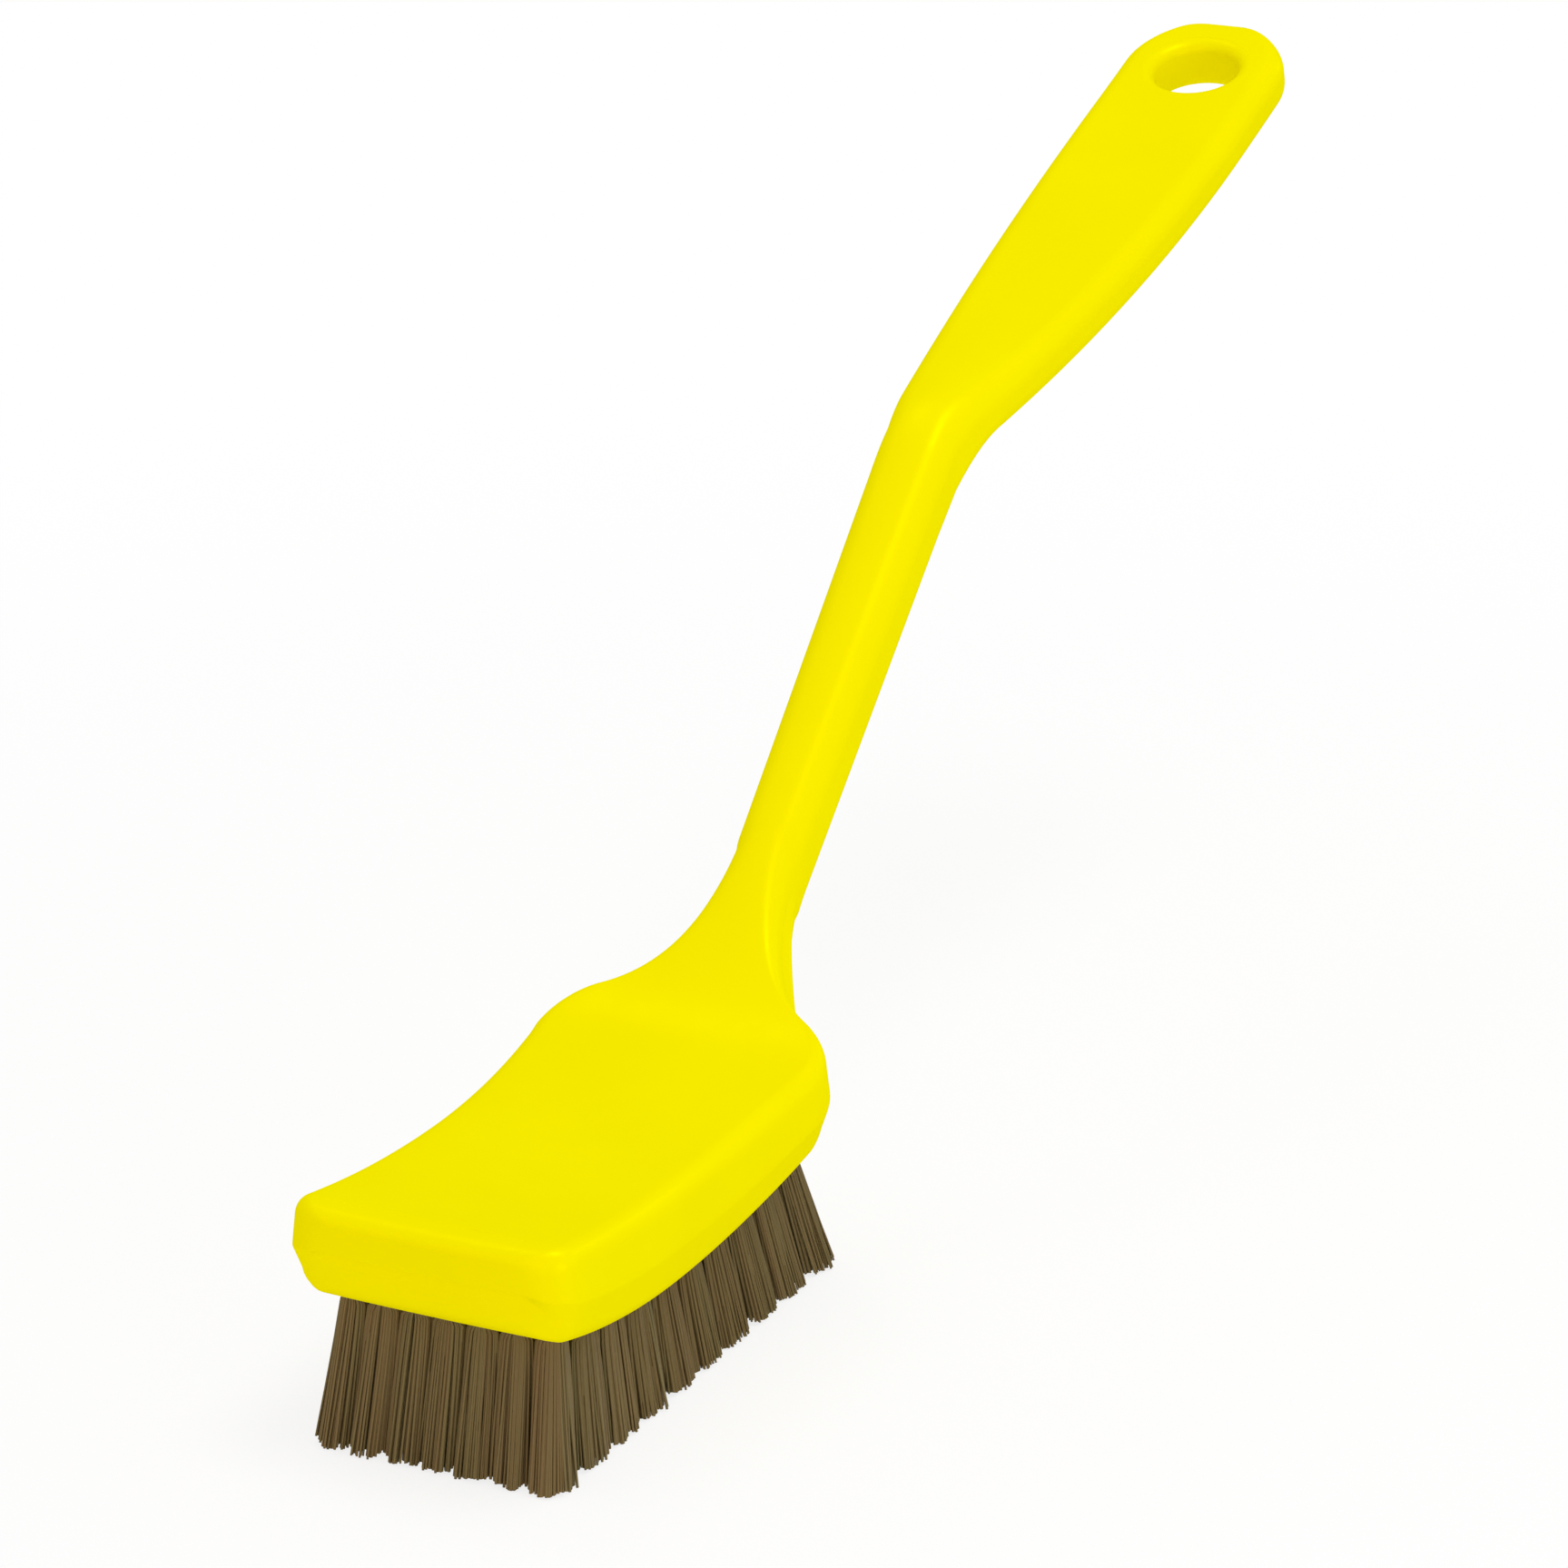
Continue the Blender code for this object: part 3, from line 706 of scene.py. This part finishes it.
    # a lock's tips make a low dome, and its tone and length are shared by most of its strands
    dome_steepness = 4.0
    dome_limit = 1.2
    lock_length, own_length = 0.7, 0.12
    lock_tone, own_tone = 0.7, 0.3
    aside = nodes.new("ShaderNodeVectorMath")
    aside.operation = "LENGTH"
    links.new(to_lock, aside.inputs[0])
    dome = calculate("POWER", aside.outputs["Value"], 2.0)
    dome = calculate("MINIMUM", calculate("MULTIPLY", dome, dome_steepness), dome_limit)
    uneven = calculate("MULTIPLY", lock_chance.outputs["X"], lock_length)
    uneven = calculate("ADD", uneven, dome)
    uneven = calculate("ADD", uneven, calculate("MULTIPLY", chance(0.0, 1.0), own_length))
    points = store(points, "FLOAT", "short", calculate("MULTIPLY", uneven, given["Uneven trim"]))
    tone = calculate("MULTIPLY", lock_chance.outputs["Y"], lock_tone)
    tone = calculate("ADD", tone, calculate("MULTIPLY", chance(0.0, 1.0), own_tone))
    points = store(points, "FLOAT", "shade", calculate("MAXIMUM", tone, stray))
    at_seat = nodes.new("GeometryNodeInputPosition").outputs[0]
    points = store(points, "FLOAT_VECTOR", "seat", at_seat)

    # a strand on each point, then its run out of the hole and down to the trim
    run_power = 1.8
    line = nodes.new("GeometryNodeCurvePrimitiveLine")
    strand = feed(
        nodes.new("GeometryNodeResampleCurve"),
        Curve=line.outputs[0],
        Count=given["Points on a strand"],
    )
    laid = feed(
        nodes.new("GeometryNodeInstanceOnPoints"), Points=points, Instance=strand.outputs[0]
    )
    strands = feed(nodes.new("GeometryNodeRealizeInstances"), Geometry=laid.outputs[0])
    factor = nodes.new("GeometryNodeSplineParameter").outputs["Factor"]
    steps = calculate("SUBTRACT", given["Points on a strand"], 1.0)
    step = calculate("MULTIPLY", factor, steps)
    in_hole = calculate("SUBTRACT", 1.0, calculate("MINIMUM", step, 1.0))
    run = calculate("MAXIMUM", calculate("SUBTRACT", step, 1.0), 0.0)
    run = calculate("DIVIDE", run, calculate("SUBTRACT", steps, 1.0))
    run = calculate("POWER", run, run_power)
    reach = calculate("SUBTRACT", stored("FLOAT", "reach"), stored("FLOAT", "short"))
    down = calculate("MULTIPLY", run, reach)
    down = calculate("SUBTRACT", down, calculate("MULTIPLY", in_hole, given["Depth in the hole"]))

    def half_beyond(size, inner):
        return calculate("DIVIDE", calculate("SUBTRACT", given[size], given[inner]), 2.0)

    packed = half_beyond("Tuft diameter", "Strand thickness")
    opening = level(
        half_beyond("Tip spread along", "Tuft diameter"),
        half_beyond("Tip spread across", "Tuft diameter"),
    )
    opened = vector("MULTIPLY", stored("FLOAT_VECTOR", "pressed"), opening)

    # inside the brush a tuft opens at once, and on its rim only little by little
    opening_power = 0.15
    rim_sharpness = 2.0
    rim_side = stored("FLOAT_VECTOR", "rim_side")
    outward = vector("MULTIPLY", stored("FLOAT_VECTOR", "place"), rim_side)
    outward = feed(nodes.new("ShaderNodeSeparateXYZ"), Vector=outward)

    def opening_share(rim):
        on_rim = calculate("MAXIMUM", calculate("MULTIPLY", rim, rim_sharpness), 0.0)
        on_rim = calculate("MINIMUM", on_rim, 1.0)
        at_once = calculate("POWER", run, opening_power)
        at_once = calculate("MULTIPLY", at_once, calculate("SUBTRACT", 1.0, on_rim))
        return calculate("ADD", at_once, calculate("MULTIPLY", run, on_rim))

    open_share = level(opening_share(outward.outputs["X"]), opening_share(outward.outputs["Y"]))
    opened = vector("MULTIPLY", opened, open_share)
    way_down = vector("SCALE", stored("FLOAT_VECTOR", "way"), down)
    spot = vector("ADD", stored("FLOAT_VECTOR", "seat"), way_down)
    spot = vector("ADD", spot, vector("SCALE", stored("FLOAT_VECTOR", "place"), packed))
    spot = vector("ADD", spot, opened)
    half_across = calculate("DIVIDE", given["Tip spread across"], 2.0)
    drawn_in = calculate("MULTIPLY", half_across, run)
    drawn_in = calculate("MULTIPLY", drawn_in, given["Gathering of a lock"])
    spot = vector("ADD", spot, vector("SCALE", stored("FLOAT_VECTOR", "to_lock"), drawn_in))
    lean_power = 1.6
    bent = calculate("POWER", run, lean_power)
    spot = vector("ADD", spot, vector("SCALE", stored("FLOAT_VECTOR", "lean"), bent))
    drawn = feed(nodes.new("GeometryNodeSetPosition"), Geometry=strands.outputs[0], Position=spot)
    round_profile = nodes.new("GeometryNodeCurvePrimitiveCircle")
    strand_radius = calculate("DIVIDE", given["Strand thickness"], 2.0)
    feed(round_profile, Resolution=strand_sides, Radius=strand_radius)
    tube = nodes.new("GeometryNodeCurveToMesh")
    feed(tube, Curve=drawn.outputs[0], Profile_Curve=round_profile.outputs[0], Fill_Caps=True)
    whole = feed(nodes.new("GeometryNodeRealizeInstances"), Geometry=tube.outputs[0])
    finish = nodes.new("GeometryNodeSetMaterial")
    feed(finish, Geometry=whole.outputs[0], Material=given["Finish"])
    links.new(finish.outputs[0], result["Filaments"])
    return tree


filaments = tuft_tree()
seed_socket = filaments.interface.items_tree["Seed"].identifier
tuft_facts = {
    "tuft": "FLOAT",
    "way": "FLOAT_VECTOR",
    "reach": "FLOAT",
    "rim_side": "FLOAT_VECTOR",
    "roundness": "FLOAT",
}
for row in range(tuft_rows):
    seats = list(tuft_seats(row))
    mesh = bpy.data.meshes.new(f"bristle_row_{row + 1:02d}")
    mesh.from_pydata([seat for seat, way in seats], [], [])
    for name, kind in tuft_facts.items():
        mesh.attributes.new(name, kind, "POINT")
    row_side = (row == tuft_rows - 1) - (row == 0)
    for n, (seat, way) in enumerate(seats):
        mesh.attributes["tuft"].data[n].value = row * tufts_per_row + n
        mesh.attributes["way"].data[n].vector = way
        mesh.attributes["reach"].data[n].value = seat.z / -way.z
        place_side = (n == tufts_per_row - 1) - (n == 0)
        mesh.attributes["rim_side"].data[n].vector = (row_side, place_side, 0)
        mesh.attributes["roundness"].data[n].value = 1 if row_side and place_side else squareness
    bristles = bpy.data.objects.new(mesh.name, mesh)
    bpy.context.scene.collection.objects.link(bristles)
    grow = bristles.modifiers.new("filaments", "NODES")
    grow.node_group = filaments
    grow[seed_socket] = row + 1
    make_plain(bristles)
    bristles.data.transform(Matrix.Translation((block_front(), 0, 0)))
    bristles.data.shade_smooth()
    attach(bristles, "root")
    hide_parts(f"tuft_row_{row + 1:02d}")

# The studio: a broad white floor that the tips stand on. It keeps a soft shadow round the
# brush, and further out the camera and every reflection see it as plain white.
floor_half_width = 4
fade_start = 0.08
fade_end = 0.45
plain_share_near = 0.8


def plainly_seen(nodes, links):
    """1 for the rays of the camera, a reflection or a refraction, and 0 for those that light."""
    rays = nodes.new("ShaderNodeLightPath")
    mirrored = nodes.new("ShaderNodeMath")
    mirrored.operation = "MAXIMUM"
    links.new(rays.outputs["Is Glossy Ray"], mirrored.inputs[0])
    links.new(rays.outputs["Is Transmission Ray"], mirrored.inputs[1])
    seen = nodes.new("ShaderNodeMath")
    seen.operation = "MAXIMUM"
    links.new(rays.outputs["Is Camera Ray"], seen.inputs[0])
    links.new(mirrored.outputs[0], seen.inputs[1])
    return seen.outputs[0]


def mix_shaders(nodes, links, share, lit, plain):
    mixed = nodes.new("ShaderNodeMixShader")
    links.new(share, mixed.inputs["Fac"])
    links.new(lit.outputs[0], mixed.inputs[1])
    links.new(plain.outputs[0], mixed.inputs[2])
    return mixed.outputs[0]


floor_bm = bmesh.new()
bmesh.ops.create_grid(floor_bm, x_segments=1, y_segments=1, size=floor_half_width)
floor = new_object("studio_floor", floor_bm)
white, nodes, links = new_material("white_studio_floor")
paper = nodes["Principled BSDF"]
paper.inputs["Base Color"].default_value = (0.97, 0.97, 0.97, 1)
paper.inputs["Roughness"].default_value = 0.9
paper.inputs["Specular IOR Level"].default_value = 0.1
glow = nodes.new("ShaderNodeEmission")
where = nodes.new("ShaderNodeTexCoord")
away = nodes.new("ShaderNodeVectorMath")
away.operation = "LENGTH"
links.new(where.outputs["Object"], away.inputs[0])
fade = nodes.new("ShaderNodeMapRange")
fade.interpolation_type = "SMOOTHSTEP"
fade.inputs["From Min"].default_value = fade_start
fade.inputs["From Max"].default_value = fade_end
fade.inputs["To Min"].default_value = plain_share_near
fade.inputs["To Max"].default_value = 1.0
links.new(away.outputs["Value"], fade.inputs["Value"])
share = nodes.new("ShaderNodeMath")
share.operation = "MULTIPLY"
links.new(plainly_seen(nodes, links), share.inputs[0])
links.new(fade.outputs["Result"], share.inputs[1])
surface = mix_shaders(nodes, links, share.outputs[0], paper, glow)
links.new(surface, nodes["Material Output"].inputs["Surface"])
floor.data.materials.append(white)

# Soft, even light: a bright surround on every side, a broad lamp above the block, and weak ones
# for the right side, the neck, the shaft and the front, whose upper face looks warm in the
# photograph. What the camera or a reflection sees past the floor is plain white.
world = bpy.data.worlds.new("studio_surround")
world.use_nodes = True
nodes, links = world.node_tree.nodes, world.node_tree.links
surround = nodes["Background"]
surround.inputs["Color"].default_value = (1, 1, 1, 1)
surround.inputs["Strength"].default_value = 0.67
backdrop = nodes.new("ShaderNodeBackground")
backdrop.inputs["Color"].default_value = (1, 1, 1, 1)
backdrop.inputs["Strength"].default_value = 1
surface = mix_shaders(nodes, links, plainly_seen(nodes, links), surround, backdrop)
links.new(surface, nodes["World Output"].inputs["Surface"])
bpy.context.scene.world = world


def soft_lamp(name, place, width, watts, colour=(1, 1, 1)):
    data = bpy.data.lights.new(name, "AREA")
    data.shape = "DISK"
    data.size = width
    data.energy = watts
    data.color = colour
    lamp = bpy.data.objects.new(name, data)
    lamp.location = place
    lamp.rotation_euler = (-Vector(place)).to_track_quat("-Z", "Y").to_euler()
    bpy.context.scene.collection.objects.link(lamp)


soft_lamp("key_softbox", place=(-0.02, -0.34, 1.15), width=0.5, watts=3.5)
soft_lamp("side_softbox", place=(-0.34, -0.55, 0.12), width=0.22, watts=0.34)
soft_lamp("front_softbox", place=(-1.10, -0.15, 0.12), width=0.6, watts=0.35)
soft_lamp("neck_softbox", place=(0.17, 0.48, 1.1), width=0.25, watts=0.5)
soft_lamp("rear_softbox", place=(1.02, -0.40, 0.48), width=0.25, watts=0.4)
warm = (1.0, 0.35, 0.12)
soft_lamp("warm_reflector", place=(-0.95, -0.10, 0.30), width=0.6, watts=0.7, colour=warm)

bpy.context.scene.view_settings.view_transform = "Standard"
